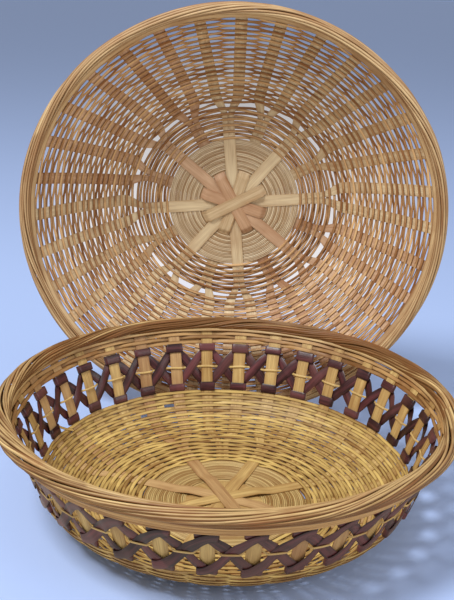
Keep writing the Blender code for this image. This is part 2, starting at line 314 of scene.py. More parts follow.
def split_bamboo_group():
    """Split bamboo: fibres that run along each splint, paleness from splint to splint, browner
    blotches across the whole piece, and painted shade along each strip's edges."""
    tree = bpy.data.node_groups.new("split bamboo", "ShaderNodeTree")
    for name, kind in (("Pale", "Color"), ("Deep", "Color"), ("Stain", "Color"), ("Fibres", "Float"),
                       ("Blotches", "Float"), ("Painted edge shade", "Float"), ("Gloss", "Float")):
        tree.interface.new_socket(name, in_out="INPUT", socket_type="NodeSocket" + kind)
    for name, kind in (("Colour", "Color"), ("Roughness", "Float"), ("Height", "Float")):
        tree.interface.new_socket(name, in_out="OUTPUT", socket_type="NodeSocket" + kind)
    given = tree.nodes.new("NodeGroupInput").outputs
    out = tree.nodes.new("NodeGroupOutput").inputs

    grain = node(tree, "ShaderNodeUVMap", uv_map="grain").outputs[0]
    place = node(tree, "ShaderNodeTexCoord").outputs["Object"]
    tone = node(tree, "ShaderNodeAttribute", attribute_name="tone").outputs["Fac"]
    edge = node(tree, "ShaderNodeAttribute", attribute_name="edge").outputs["Fac"]
    fibre = noise(tree, stretched(tree, grain, FIBRE_SCALE), 1.0, 3.0)
    streak = noise(tree, stretched(tree, grain, STREAK_SCALE), 1.0, 2.0)
    blotch = noise(tree, place, BLOTCH_SCALE, 3.0)
    lengths = noise(tree, grain, LENGTHS_SCALE, 1.0)

    fine = reckoned(tree, "MULTIPLY", reckoned(tree, "SUBTRACT", fibre, 0.5), given["Fibres"])
    broad = reckoned(tree, "MULTIPLY", reckoned(tree, "SUBTRACT", streak, 0.5), given["Fibres"])
    paleness = reckoned(tree, "ADD", reckoned(tree, "ADD", tone, fine), broad)
    # Painted shade: each strip is made darker towards its edges, where it meets its neighbours, and a
    # round strand where it turns away.
    painted_edge_shade = reckoned(tree, "MULTIPLY", reckoned(tree, "POWER", edge, 3.0), given["Painted edge shade"])
    paleness = reckoned(tree, "SUBTRACT", paleness, painted_edge_shade, clamp=True)
    plain = mixed(tree, paleness, given["Deep"], given["Pale"])
    half_blotch = reckoned(tree, "MULTIPLY", blotch, 0.5)
    half_lengths = reckoned(tree, "MULTIPLY", lengths, 0.5)
    browner = ranged(tree, reckoned(tree, "ADD", half_blotch, half_lengths), STAIN_FROM, STAIN_TO)
    stain = reckoned(tree, "MULTIPLY", browner, given["Blotches"])
    link_in(tree, out["Colour"], mixed(tree, stain, plain, given["Stain"]))
    rough = ranged(tree, fibre, *FIBRE_RANGE, SMOOTH_ROUGHNESS, FIBROUS_ROUGHNESS)
    link_in(tree, out["Roughness"], reckoned(tree, "SUBTRACT", rough, given["Gloss"]))
    streak_height = reckoned(tree, "MULTIPLY", streak, STREAK_HEIGHT)
    link_in(tree, out["Height"], reckoned(tree, "ADD", fibre, streak_height))
    return tree


split_bamboo = split_bamboo_group()


# A material's edge number sets how deep the painted shade along each strip's edges is.
def bamboo(name, pale, deep, stain, fibres=1.0, blotches=0.4, painted_edge_shade=0.65, gloss=0.0, relief=0.00006):
    """A splint's material: the shared split bamboo with its own colours."""
    made = bpy.data.materials.new(name)
    made.use_nodes = True
    tree = made.node_tree
    shader = tree.nodes["Principled BSDF"]
    given = {"Pale": (*pale, 1.0), "Deep": (*deep, 1.0), "Stain": (*stain, 1.0), "Fibres": fibres,
             "Blotches": blotches, "Painted edge shade": painted_edge_shade, "Gloss": gloss}
    group = node(tree, "ShaderNodeGroup", node_tree=split_bamboo)
    for key, value in given.items():
        group.inputs[key].default_value = value
    height = group.outputs["Height"]
    bump = node(tree, "ShaderNodeBump", {"Height": height, "Distance": relief, "Strength": 1.0})
    tree.links.new(group.outputs["Colour"], shader.inputs["Base Color"])
    tree.links.new(group.outputs["Roughness"], shader.inputs["Roughness"])
    tree.links.new(bump.outputs["Normal"], shader.inputs["Normal"])
    return made


def ray(wall, angle, long, layer, spans, stake_width, top, rng):
    """One base splint and its four stakes.

    Its middle part lies across the base, lifted by its own layer at the hub. A long one stays on
    top of the base's strands. A short one dives under them. Each half of a slit end then follows
    the wall, and moves sideways from the splint's middle to its own place among the stakes.
    """
    slit, spread_from, spread_to = spans
    tone = rng.uniform(0.45, 0.9)

    def offset(distance):
        """How far outwards from the wall's line it lies: below 0 where the splint is lifted."""
        hub = -RAY_LIFT - layer * HUB_LAYER * (1 - smooth(HUB_FLAT, HUB_END, distance))
        settled = smooth(SETTLE_FROM, SETTLE_TO, distance)
        if long:
            return hub * (1 - settled)
        dive = (RAY_LIFT - hub) * smooth(DIVE_FROM, DIVE_TO, distance)
        return hub + dive - RAY_LIFT * settled

    x = np.linspace(-slit, slit, RAY_STATIONS)
    radius, height = wall.at(np.abs(x), offset(np.abs(x)))
    way = np.array([math.cos(angle), math.sin(angle), 0.0])
    side = np.array([-way[1], way[0], 0.0])
    middle = np.sign(x)[:, None] * radius[:, None] * way
    middle[:, 2] = height
    across = np.broadcast_to(side * SPLINT_WIDTH / 2, middle.shape)
    up = np.broadcast_to([0.0, 0.0, SPLINT_THICKNESS / 2], middle.shape)
    made = [strip(middle, across, up, tone, False, BOARD)]

    distance = np.concatenate([np.arange(slit, top, STAKE_STEP), [top]])
    radius = wall.at(distance)[0]
    opened = smooth(spread_from, spread_to, distance)
    for end in (0.0, math.pi):
        for half in (-1, 1):
            nudge = rng.normal(0.0, STAKE_NUDGE)
            beside = half * SPLINT_WIDTH / 4 / radius
            turn = angle + end + beside * (1 - opened) + half * PITCH / 2 * opened
            turn = turn + nudge * opened / radius
            spread_width = stake_width * rng.uniform(0.94, 1.06)
            width = (SPLINT_WIDTH - SLIT_WIDTH) / 2 * (1 - opened) + spread_width * opened
            middle = on_wall(wall, turn, distance, offset(distance))
            aside = np.stack([-np.sin(turn), np.cos(turn), 0 * turn], axis=-1)
            outer = on_wall(wall, turn, distance, offset(distance) + SPLINT_THICKNESS / 2)
            shade = tone + rng.uniform(-0.15, 0.15)
            made.append(strip(middle, aside * width[:, None] / 2, outer - middle, shade, False, BOARD))
    return made


# The stakes lie flat on the base, curve up to the band's foot at the shoulder, and stand nearly
# straight from there to the rim.
bowl_wall = Wall(
    ((0.0, FLOOR_LEVEL), (0.015, FLOOR_LEVEL), (0.030, FLOOR_LEVEL), BASE_EDGE),
    (BASE_EDGE, (0.073, 0.0015), (0.092, 0.0065), SHOULDER),
    (SHOULDER, (0.1024, 0.033), (0.1055, 0.047), BOWL_RIM),
)
band_bottom = bowl_wall.where(1, SHOULDER[1])
band_top = bowl_wall.where(1, BAND_TOP_HEIGHT)
stake_top = bowl_wall.where(1, STAKE_TOP_HEIGHT)
bowl_place = np.eye(4)
bowl_place[:2, :2] = [[math.cos(BOWL_TURN), -math.sin(BOWL_TURN)],
                      [math.sin(BOWL_TURN), math.cos(BOWL_TURN)]]
BOWL_HUB_ORDER = (0, 4, 2, 6, 3, 7, 1, 5)
BOWL_ROSY = (5, 7)
stake_bamboo = bamboo("stake_bamboo", (0.78, 0.56, 0.22), (0.36, 0.19, 0.055), (0.34, 0.16, 0.05),
                      fibres=1.2, painted_edge_shade=0.35)
rosy_bamboo = bamboo("rosy_bamboo", (0.64, 0.42, 0.19), (0.32, 0.155, 0.055), (0.32, 0.13, 0.05),
                     fibres=1.2, painted_edge_shade=0.3)
rng = np.random.default_rng(11)
for i in range(STAKES // 4):
    splint = ray(bowl_wall, (2 * i + 0.5) * PITCH, i % 2 == 1, BOWL_HUB_ORDER.index(i),
                 (SLIT_FROM, SPREAD_FROM, SPREAD_TO), BOWL_STAKE_WIDTH, stake_top, rng)
    surface = rosy_bamboo if i in BOWL_ROSY else stake_bamboo
    piece(f"base_splint_{i + 1}", splint, surface, "basket", bowl_place, seed=20 + i)


# The bowl's base disc
# Fine round strands, about a millimetre wide, laid in rings between the splints: under the long
# splints, and over the short ones once those have dived. A few strands are much darker.
DISC_FROM = 0.0125
DISC_RADIUS = 0.0440
STRAND_PITCH = 0.00098
STRAND_WIDTH = STRAND_PITCH * 1.06
STRAND_THICKNESS = 0.0009
STRAND_SWING = 0.00028
STRAND_WANDER = 0.00004
DARK_STRANDS = 0.16
DARKER_BY = 0.45


def ring(corners):
    """Corners of a round section of radius 1, clockwise."""
    turn = -math.tau * (np.arange(corners) + 0.5) / corners
    return np.stack([np.cos(turn), np.sin(turn)], axis=1)


ROUND = ring(8)


def laid(wall, turn, distance, offset, width, thickness, tone, closed=False, section=FLAT):
    """A strip that runs round the wall, flat on it: its width lies up the wall, and its thickness
    outwards."""
    middle = on_wall(wall, turn, distance, offset)
    upper = on_wall(wall, turn, distance + width / 2, offset)
    lower = on_wall(wall, turn, distance - width / 2, offset)
    outer = on_wall(wall, turn, distance, offset + thickness / 2)
    inner = on_wall(wall, turn, distance, offset - thickness / 2)
    return strip(middle, (upper - lower) / 2, (outer - inner) / 2, tone, closed, section)


def slow(turn, rng, size, waves=(2, 9)):
    """A smooth closed wander round the dish: a few sine waves with seeded phases."""
    counts = rng.integers(*waves, 4)
    phases = rng.uniform(0.0, math.tau, 4)
    return size * np.sin(np.multiply.outer(turn, counts) + phases).mean(axis=1) * 2


def beat(turn, columns, first):
    """A flattened wave round the dish: 1 at each even column, -1 at each odd one. The first column
    lies at the turn given."""
    wave = np.tanh(2.0 * np.cos((turn - first) * columns / 2))
    return wave / np.tanh(2.0)


def patches(turn, rng, spread, count):
    """Paleness of a weaver round the dish: a new value at each of the few places where one
    splint ends and the next begins."""
    starts = np.sort(rng.uniform(0.0, math.tau, count))
    values = rng.normal(0.0, spread, count + 1)
    return values[np.searchsorted(starts, turn)]


def disc(wall, long_from, edge, rng):
    """Rings of fine strands. Long splints lie 45 degrees apart from long_from, short ones between."""
    made = []
    turn = np.linspace(0.0, math.tau, RAYS * 8, endpoint=False)
    for radius in np.arange(DISC_FROM, edge, STRAND_PITCH):
        side = beat(turn, RAYS, long_from) if radius > DIVE_TO else 1.0
        offset = STRAND_SWING * side + slow(turn, rng, STRAND_WANDER)
        tone = rng.uniform(0.35, 0.85) - (DARKER_BY if rng.random() < DARK_STRANDS else 0.0)
        tone = tone + patches(turn, rng, 0.12, 7)
        distance = radius + slow(turn, rng, STRAND_WANDER)
        made.append(laid(wall, turn, distance, offset, STRAND_WIDTH, STRAND_THICKNESS, tone,
                         True, ROUND))
    return made


disc_bamboo = bamboo("disc_bamboo", (0.72, 0.54, 0.23), (0.32, 0.175, 0.05), (0.40, 0.20, 0.07),
                     blotches=0.25, painted_edge_shade=0.9)
strands = disc(bowl_wall, 2.5 * PITCH, DISC_RADIUS, np.random.default_rng(12))
piece("base_disc", strands, disc_bamboo, "basket", bowl_place, seed=31)


# The bowl's lower weave
# Round the base run thirteen rows of thin round weavers, over and under the still unslit rays.
# Above them, nineteen rows of narrow flat weavers go over one stake and under the next.
ROUND_ROWS = 13
ROUND_START = DISC_RADIUS + 0.0010
ROUND_END = 0.0715
ROUND_WIDTH = 0.0024
ROUND_THICKNESS = 0.0012
ROUND_SWING = 0.00055
FLAT_ROWS = 19
FLAT_STEP = (band_bottom - ROUND_END) / FLAT_ROWS
FLAT_WIDTH = FLAT_STEP * 1.12
FLAT_THICKNESS = 0.00045
FLAT_SWING = 0.0005
WEAVER_STEPS = 12
WEAVER_LENGTHS = 11
WEAVER_WANDER = 0.00012
# A row has painted shade where it lies outwards, behind a stake seen from inside: from this point of
# its wave, full from this one, and this deep.
BEHIND_FROM = 0.80
BEHIND_FULLY = 0.95
PAINTED_SHADE_BEHIND = 0.22


def weaver(wall, distance, width, thickness, columns, first, row, swing, rng, section=FLAT,
           wander=WEAVER_WANDER, spread=0.17, tone=0.58, gap=None):
    """One row of weaving: it swings out and in by a flattened wave, so that it lies over one
    column and under the next. It has painted shade where it dives behind a column, seen from
    inside. A broken row has a gap, given by the turns where it starts and ends."""
    turn = np.linspace(0.0, math.tau, columns * WEAVER_STEPS, endpoint=False)
    if gap:
        turn = np.linspace(gap[1], gap[0] + math.tau, columns * WEAVER_STEPS)
    side = beat(turn, columns, first) * (1 if row % 2 else -1)
    distance = distance + slow(turn, rng, wander)
    shade = tone + rng.normal(0.0, spread / 2) + patches(turn % math.tau, rng, spread, WEAVER_LENGTHS)
    shade = shade + np.repeat(rng.normal(0.0, spread / 2, columns), WEAVER_STEPS)
    # Painted shade where the row dives behind a stake.
    shade = shade - PAINTED_SHADE_BEHIND * smooth(BEHIND_FROM, BEHIND_FULLY, side)
    width = width * rng.uniform(0.95, 1.01)
    return laid(wall, turn, distance, side * swing, width, thickness, shade, not gap, section)


weave_bamboo = bamboo("weave_bamboo", (0.80, 0.57, 0.185), (0.20, 0.09, 0.018), (0.28, 0.115, 0.03),
                      fibres=0.9, painted_edge_shade=0.9)
rng = np.random.default_rng(13)
rows = []
for row in range(ROUND_ROWS):
    distance = ROUND_START + (ROUND_END - ROUND_START) * (row + 0.5) / ROUND_ROWS
    rows.append(weaver(bowl_wall, distance, ROUND_WIDTH, ROUND_THICKNESS, RAYS, PITCH / 2, row,
                       ROUND_SWING, rng, ROUND, tone=0.66))
piece("base_weave", rows, weave_bamboo, "basket", bowl_place, seed=41)

# Two rows are broken, and one splint's end has sprung loose beside the band.
BROKEN = {14: (math.radians(114.0), math.radians(118.5)),
          12: (math.radians(126.0), math.radians(129.0))}
LOOSE_TURN = np.radians(np.linspace(160.0, 169.0, 12))
LOOSE_START = 0.003
LOOSE_RISE = 0.009
LOOSE_INSIDE = 0.0010
LOOSE_CURL = 0.0030
LOOSE_WIDTH = 0.0018
LOOSE_THICKNESS = 0.0004
rows = []
for row in range(FLAT_ROWS):
    distance = ROUND_END + FLAT_STEP * (row + 0.5)
    rows.append(weaver(bowl_wall, distance, FLAT_WIDTH, FLAT_THICKNESS, STAKES, 0.0, row,
                       FLAT_SWING, rng, spread=0.12, tone=0.66, gap=BROKEN.get(row)))
share = np.linspace(0.0, 1.0, len(LOOSE_TURN))
distance = band_bottom - LOOSE_START + LOOSE_RISE * share
offset = -LOOSE_INSIDE - LOOSE_CURL * share**2
rows.append(laid(bowl_wall, LOOSE_TURN, distance, offset, LOOSE_WIDTH, LOOSE_THICKNESS, 0.9))
piece("lower_weave", rows, weave_bamboo, "basket", bowl_place, seed=42)


# The openwork band
# Two splints, dyed purple-brown, wind round the bare stakes. Each runs outside the wall from a
# crossing to a stake's far edge, turns inwards round it, lies across the stake's inside as a level
# bar, turns out again and goes on to the next crossing. One is high where the other is low.
BAND_MIDDLE = (band_bottom + band_top) / 2
BAND_RADIUS = float(bowl_wall.at(BAND_MIDDLE)[0])
BAND_PITCH = PITCH * BAND_RADIUS
BAND_CLEARANCE = 0.0002
DYED_THICKNESS = 0.00045
BAR_HALF = 0.0041
BAR_BEND = 0.0008
BAR_SIDE = 0.00085
BAR_STATIONS = 7
BEND_STATIONS = 7
RUN_STATIONS = 17
WALL_STEP = 0.001

# How far out the inner and the outer of two crossing splints lie, at a stake and at a crossing.
DYED_LAYERS = (0.00095, 0.0017)
DYED_CROSSING = (0.00025, 0.00080)

# The letter of each dyed splint, whether it starts high (0) or low (1), and half its width on the
# stakes' insides and at the crossings.
DYED_SPLINTS = (("a", 0, 0.0028, 0.0030), ("b", 1, 0.0023, 0.0027))


def wound(wall, phase, bar_half, crossing_half, rng):
    """A dyed splint. Outside the wall it rises by a quarter of a sine wave, from the crossing to its
    level at the stake's far edge. Its width lies across its own run, in the plane of the wall."""
    run = np.linspace(-BAND_PITCH / 2, BAR_HALF, RUN_STATIONS)
    share = (run - run[0]) / (run[-1] - run[0])
    rise = np.sin(share * math.pi / 2)
    near = smooth(-BAND_PITCH / 2, -BAR_HALF, run)
    reach = crossing_half + (bar_half - crossing_half) * smooth(0.0, 1.0, share)
    bend = np.linspace(0.0, math.pi, BEND_STATIONS + 2)[1:-1]
    level_stations = 2 * BEND_STATIONS + BAR_STATIONS
    high = np.concatenate([rise, np.ones(level_stations), rise[::-1][:-1]])
    wide = np.concatenate([reach, np.full(level_stations, bar_half), reach[::-1][:-1]])
    stations = []
    for stake in range(STAKES):
        second = (stake + phase) % 2
        first = 1 - second
        level = (1 - 2 * second) * ((band_top - band_bottom) / 2 - bar_half - BAND_CLEARANCE)
        level = level + rng.normal(0.0, 0.0003)
        half = BAR_HALF + rng.normal(0.0, 0.0002)
        bar = np.linspace(half, -half, BAR_STATIONS)
        beyond = half + BAR_BEND * np.sin(bend)
        along = np.concatenate([run, beyond, bar, -beyond, -run[::-1][:-1]])
        arriving = DYED_LAYERS[first]
        leaving = DYED_LAYERS[second]
        rising = arriving * near + DYED_CROSSING[first] * (1 - near)
        falling = leaving * near + DYED_CROSSING[second] * (1 - near)
        inwards = (arriving - BAR_SIDE) / 2 + (arriving + BAR_SIDE) / 2 * np.cos(bend)
        outwards = (leaving - BAR_SIDE) / 2 - (leaving + BAR_SIDE) / 2 * np.cos(bend)
        inside = np.full(BAR_STATIONS, -BAR_SIDE)
        offset = np.concatenate([rising, inwards, inside, outwards, falling[::-1][:-1]])
        distance = BAND_MIDDLE + level * high
        stations.append(np.stack([along + stake * BAND_PITCH, distance, offset, wide], axis=1))
    along, distance, offset, reach = np.concatenate(stations).T
    turn = along / BAND_RADIUS
    middle = on_wall(wall, turn, distance, offset)
    way = np.roll(middle, -1, axis=0) - np.roll(middle, 1, axis=0)
    way /= np.linalg.norm(way, axis=1)[:, None]
    upper = on_wall(wall, turn, distance + WALL_STEP, offset)
    lower = on_wall(wall, turn, distance - WALL_STEP, offset)
    wall_up = upper - lower
    across = wall_up - np.sum(wall_up * way, axis=1)[:, None] * way
    across /= np.linalg.norm(across, axis=1)[:, None]
    up = np.cross(way, across) * DYED_THICKNESS / 2
    tone = rng.uniform(0.35, 0.5) + patches(turn % math.tau, rng, 0.25, 24)
    return strip(middle, across * reach[:, None], up, tone, True)


dyed_bamboo = bamboo("dyed_bamboo", (0.16, 0.042, 0.048), (0.022, 0.005, 0.007), (0.20, 0.08, 0.07),
                     fibres=1.6, painted_edge_shade=0.5, gloss=0.16)
rng = np.random.default_rng(14)
for letter, phase, bar_half, crossing_half in DYED_SPLINTS:
    splint = wound(bowl_wall, phase, bar_half, crossing_half, rng)
    piece(f"band_splint_{letter}", [splint], dyed_bamboo, "basket", bowl_place,
          seed=50 + phase)


# The band's tie strand
# One thin undyed strand of split bamboo, run round the middle of the band. It passes inside each
# stake and outside each crossing, and so ties the dyed splints to the stakes.
TIE_WIDTH = 0.0013
TIE_THICKNESS = 0.0007
TIE_INSIDE = -0.00085
TIE_OUTSIDE = 0.0014
TIE_WANDER = 0.0004
rng = np.random.default_rng(15)
turn = np.linspace(0.0, math.tau, STAKES * 24, endpoint=False)
inward = smooth(-0.35, 0.55, np.cos(turn * STAKES))
offset = TIE_OUTSIDE + (TIE_INSIDE - TIE_OUTSIDE) * inward
distance = BAND_MIDDLE + slow(turn, rng, TIE_WANDER, (5, 30))
tone = 0.75 + patches(turn, rng, 0.1, 5)
tie = laid(bowl_wall, turn, distance, offset, TIE_WIDTH, TIE_THICKNESS, tone, True, ROUND)
piece("band_tie_strand", [tie], stake_bamboo, "basket", bowl_place, seed=60)


# The upper weave
# Four rows of flat weavers, over one stake and under the next, hold the stakes together
# between the openwork band and the rim. They are browner than the lower weave, and all round
# they are darker still with painted shade.
UPPER_ROWS = 4
UPPER_STEP = (stake_top - 0.0006 - band_top) / UPPER_ROWS
UPPER_WIDTH = UPPER_STEP * 0.95
UPPER_THICKNESS = 0.0005
UPPER_SWING = 0.0006
UPPER_WANDER = 0.0003
# The upper weave's colour: browner than the lower weave's, and darkened all round with painted shade.
upper_bamboo_shaded = bamboo("upper_bamboo_shaded", (0.60, 0.36, 0.14), (0.20, 0.085, 0.02), (0.28, 0.11, 0.03),
                      blotches=0.6, painted_edge_shade=0.9)
rng = np.random.default_rng(16)
rows = []
for row in range(UPPER_ROWS):
    distance = band_top + UPPER_STEP * (row + 0.5)
    rows.append(weaver(bowl_wall, distance, UPPER_WIDTH, UPPER_THICKNESS, STAKES, 0.0, row,
                       UPPER_SWING, rng, wander=UPPER_WANDER, spread=0.22, tone=0.66))
piece("upper_weave", rows, upper_bamboo_shaded, "basket", bowl_place, seed=70)


# The bowl's rim
# A flat hoop inside and a browner bundle outside clamp the stakes' tops, and a border of many fine
# strands, rolled together, covers them.
BORDER_MIDDLE = (0.1162, 0.0618)
BORDER_HALF = (0.0040, 0.0031)
BORDER_STRANDS = 17
BORDER_WINDS = 3
BORDER_STATIONS = 320
BORDER_STRAND_WIDTH = 0.0016
# How much painted shade darkens the border on the side away from the front.
PAINTED_SHADE_BACK = 0.48


def rolled(centre, half, count, winds, rng, tone=0.62, back_shade=0.0):
    """A rolled border: each strand follows an oval round the border's middle line and winds slowly
    round it as it goes round the dish. On the side away from the front it has painted shade, by
    the number given."""
    made = []
    turn = np.linspace(0.0, math.tau, BORDER_STATIONS, endpoint=False)
    common = slow(turn, rng, 0.25, (2, 12))
    for i in range(count):
        place = math.tau * i / count + winds * turn + common + slow(turn, rng, 0.10, (2, 14))
        swell = 1 + slow(turn, rng, 0.05, (2, 14))
        radius = centre[0] + half[0] * np.cos(place) * swell
        height = centre[1] + half[1] * np.sin(place) * swell
        middle = np.stack([radius * np.cos(turn), radius * np.sin(turn), height], axis=-1)
        size = BORDER_STRAND_WIDTH * rng.uniform(0.85, 1.1) / 2
        out = np.stack([np.cos(turn), np.sin(turn), 0 * turn], axis=-1) * size
        up = np.broadcast_to([0.0, 0.0, size], out.shape)
        shade = tone + rng.normal(0.0, 0.15) + patches(turn, rng, 0.16, 7)
        # Painted shade on the side of the dish away from the front.
        shade = shade - back_shade * smooth(-0.2, 0.7, np.sin(turn))
        made.append(strip(middle, out, up, shade, True, ROUND))
    return made


rim_bamboo = bamboo("rim_bamboo", (0.82, 0.58, 0.26), (0.19, 0.08, 0.02), (0.30, 0.11, 0.03),
                    blotches=0.5, painted_edge_shade=0.85)
rng = np.random.default_rng(17)
border = rolled(BORDER_MIDDLE, BORDER_HALF, BORDER_STRANDS, BORDER_WINDS, rng, back_shade=PAINTED_SHADE_BACK)
piece("rim_border", border, rim_bamboo, "basket", bowl_place, seed=81)

# The outer bundle is five thick strands, one below the other, which lean inwards with the wall.
BUNDLE_ROWS = 5
BUNDLE_TOP = stake_top + 0.0006
BUNDLE_STEP = 0.0019
BUNDLE_OUT = 0.0030
BUNDLE_LEAN = 0.00022
BUNDLE_STRAND = (0.0020, 0.0018)
bundle_bamboo = bamboo("bundle_bamboo", (0.84, 0.54, 0.22), (0.42, 0.21, 0.07), (0.38, 0.17, 0.06),
                       fibres=0.8, blotches=0.35)
rows = []
turn = np.linspace(0.0, math.tau, STAKES * 8, endpoint=False)
for row in range(BUNDLE_ROWS):
    distance = BUNDLE_TOP - BUNDLE_STEP * (row + 0.5) + slow(turn, rng, 0.0002)
    offset = BUNDLE_OUT - BUNDLE_LEAN * row + slow(turn, rng, 0.00015)
    tone = 0.5 + rng.normal(0.0, 0.1) + patches(turn, rng, 0.1, 5)
    rows.append(laid(bowl_wall, turn, distance, offset, *BUNDLE_STRAND, tone, True, ROUND))
piece("rim_outer_hoop", rows, bundle_bamboo, "basket", bowl_place, seed=82)

HOOP_BELOW_TOP = 0.0014
HOOP_INSIDE = -0.0014
HOOP_WIDTH = 0.0034
HOOP_THICKNESS = 0.0009
distance = stake_top - HOOP_BELOW_TOP + slow(turn, rng, 0.0002)
tone = 0.7 + patches(turn, rng, 0.08, 4)
hoop = laid(bowl_wall, turn, distance, HOOP_INSIDE, HOOP_WIDTH, HOOP_THICKNESS, tone, True)
piece("rim_inner_hoop", [hoop], rim_bamboo, "basket", bowl_place, seed=83)


# The lid's base splints and stakes
# The lid is made as the bowl is, wider and shallower. It is worked out mouth up, and then put where
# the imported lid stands: its mouth looks to the front and a little down.
LID_FLOOR_LEVEL = 0.0020
LID_BASE_EDGE = (0.041, LID_FLOOR_LEVEL)
LID_KNEE = (0.076, 0.0085)
LID_RIM = (0.1265, 0.0485)
LID_DISC_HALF = 0.0009
LID_STAKE_WIDTH = 0.0070
LID_STAKES_STOP = 0.0012
LID_SLIT_FROM = 0.045
LID_SPREAD_FROM = 0.056
LID_SPREAD_TO = 0.072
LID_HUB_ORDER = (0, 4, 2, 6, 3, 7, 5, 1)
LID_ROSY = (5, 6, 7)


def middle_of(node_name):
    """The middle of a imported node's box."""
    low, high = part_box(node_name)
    return (np.array(low) + np.array(high)) / 2


lid_base_middle = middle_of("lid_base_disc")
lid_up = middle_of("lid_rim_border") - lid_base_middle
lid_up /= np.linalg.norm(lid_up)
lid_side = np.array([1.0, 0.0, 0.0])
lid_place = np.eye(4)
lid_place[:3, :3] = np.stack([lid_side, np.cross(lid_up, lid_side), lid_up], axis=1)
lid_place[:3, 3] = lid_base_middle - LID_DISC_HALF * lid_up

# The lid's stakes lie nearly flat as far as the knee, and slope from there to the rim.
lid_wall = Wall(
    ((0.0, LID_FLOOR_LEVEL), (0.015, LID_FLOOR_LEVEL), (0.030, LID_FLOOR_LEVEL), LID_BASE_EDGE),
    (LID_BASE_EDGE, (0.060, 0.0021), (0.068, 0.0035), LID_KNEE),
    (LID_KNEE, (0.092, 0.0185), (0.112, 0.0345), LID_RIM),
)
lid_rim = float(lid_wall.length[-1])
lid_top = lid_rim - LID_STAKES_STOP
lid_stake_bamboo = bamboo("lid_stake_bamboo", (0.93, 0.76, 0.49), (0.48, 0.28, 0.12),
                          (0.42, 0.19, 0.07), painted_edge_shade=0.3)
lid_rosy_bamboo = bamboo("lid_rosy_bamboo", (0.82, 0.56, 0.36), (0.44, 0.21, 0.09),
                         (0.42, 0.18, 0.08), painted_edge_shade=0.3)
rng = np.random.default_rng(21)
for i in range(STAKES // 4):
    splint = ray(lid_wall, (2 * i + 0.5) * PITCH, i % 2 == 0, LID_HUB_ORDER.index(i),
                 (LID_SLIT_FROM, LID_SPREAD_FROM, LID_SPREAD_TO), LID_STAKE_WIDTH, lid_top, rng)
    surface = lid_rosy_bamboo if i in LID_ROSY else lid_stake_bamboo
    piece(f"lid_splint_{i + 1}", splint, surface, "lid", lid_place, seed=90 + i)


# The lid's base disc
# The same fine rings of round strands as in the bowl, and paler. Here the first, third, fifth and
# seventh splints are the long ones that lie on top of them.
LID_DISC_RADIUS = 0.0420
lid_disc_bamboo = bamboo("lid_disc_bamboo", (0.94, 0.80, 0.56), (0.44, 0.27, 0.13),
                         (0.50, 0.31, 0.16), blotches=0.25, painted_edge_shade=0.9)
strands = disc(lid_wall, PITCH / 2, LID_DISC_RADIUS, np.random.default_rng(22))
piece("lid_base_disc", strands, lid_disc_bamboo, "lid", lid_place, seed=101)


# The lid's floor weave
# Eleven rows of thin round weavers go over and under the rays that are still unslit, as in the
# bowl. They are laid less close, with fine slits between them.
LID_FLOOR_ROWS = 11
LID_FLOOR_START = LID_DISC_RADIUS + 0.0006
LID_FLOOR_END = 0.0638
LID_FLOOR_WIDTH = 0.00175
LID_FLOOR_THICKNESS = 0.0010
LID_FLOOR_SWING = 0.0008
LID_FLOOR_WANDER = 0.00028
lid_weave_bamboo = bamboo("lid_weave_bamboo", (0.84, 0.54, 0.26), (0.29, 0.12, 0.035),
                          (0.36, 0.14, 0.04), fibres=0.9, blotches=0.55, painted_edge_shade=0.85)
rng = np.random.default_rng(23)
rows = []
for row in range(LID_FLOOR_ROWS):
    distance = LID_FLOOR_START + (LID_FLOOR_END - LID_FLOOR_START) * (row + 0.5) / LID_FLOOR_ROWS
    rows.append(weaver(lid_wall, distance, LID_FLOOR_WIDTH, LID_FLOOR_THICKNESS, RAYS, PITCH / 2, row,
                       LID_FLOOR_SWING, rng, ROUND, LID_FLOOR_WANDER))
piece("lid_floor_weave", rows, lid_weave_bamboo, "lid", lid_place, seed=102)


# The lid's wall weave
# Flat weavers laid close, over one stake and under the next. Where a row comes out from behind a
# stake it stands away from its neighbour, and light shows between them. Each piece is two rows, and
# two rows of the wall are broken.
LID_WEAVERS = 19
LID_WALL_FROM = 0.0656
LID_WALL_STOP = 0.0030
LID_WEAVER_STEP = (lid_rim - LID_WALL_STOP - LID_WALL_FROM) / (2 * LID_WEAVERS)
LID_WEAVER_WIDTH = LID_WEAVER_STEP * 0.88
LID_WEAVER_THICKNESS = 0.0004
LID_WEAVER_SWING = 0.00085
LID_FIRST_WANDER = 0.0006
LID_WANDER = 0.00022
LID_BROKEN = {21: (math.radians(86.0), math.radians(90.5)),
              9: (math.radians(201.0), math.radians(204.0))}
rng = np.random.default_rng(24)
for i in range(LID_WEAVERS):
    rows = []
    for row in (2 * i, 2 * i + 1):
        distance = LID_WALL_FROM + LID_WEAVER_STEP * (row + 0.5)
        wander = LID_FIRST_WANDER if row == 0 else LID_WANDER
        rows.append(weaver(lid_wall, distance, LID_WEAVER_WIDTH, LID_WEAVER_THICKNESS, STAKES, 0.0, row,
                           LID_WEAVER_SWING, rng, wander=wander, spread=0.24, tone=0.55,
                           gap=LID_BROKEN.get(row)))
    piece(f"lid_weaver_{i + 1}", rows, lid_weave_bamboo, "lid", lid_place, seed=110 + i)


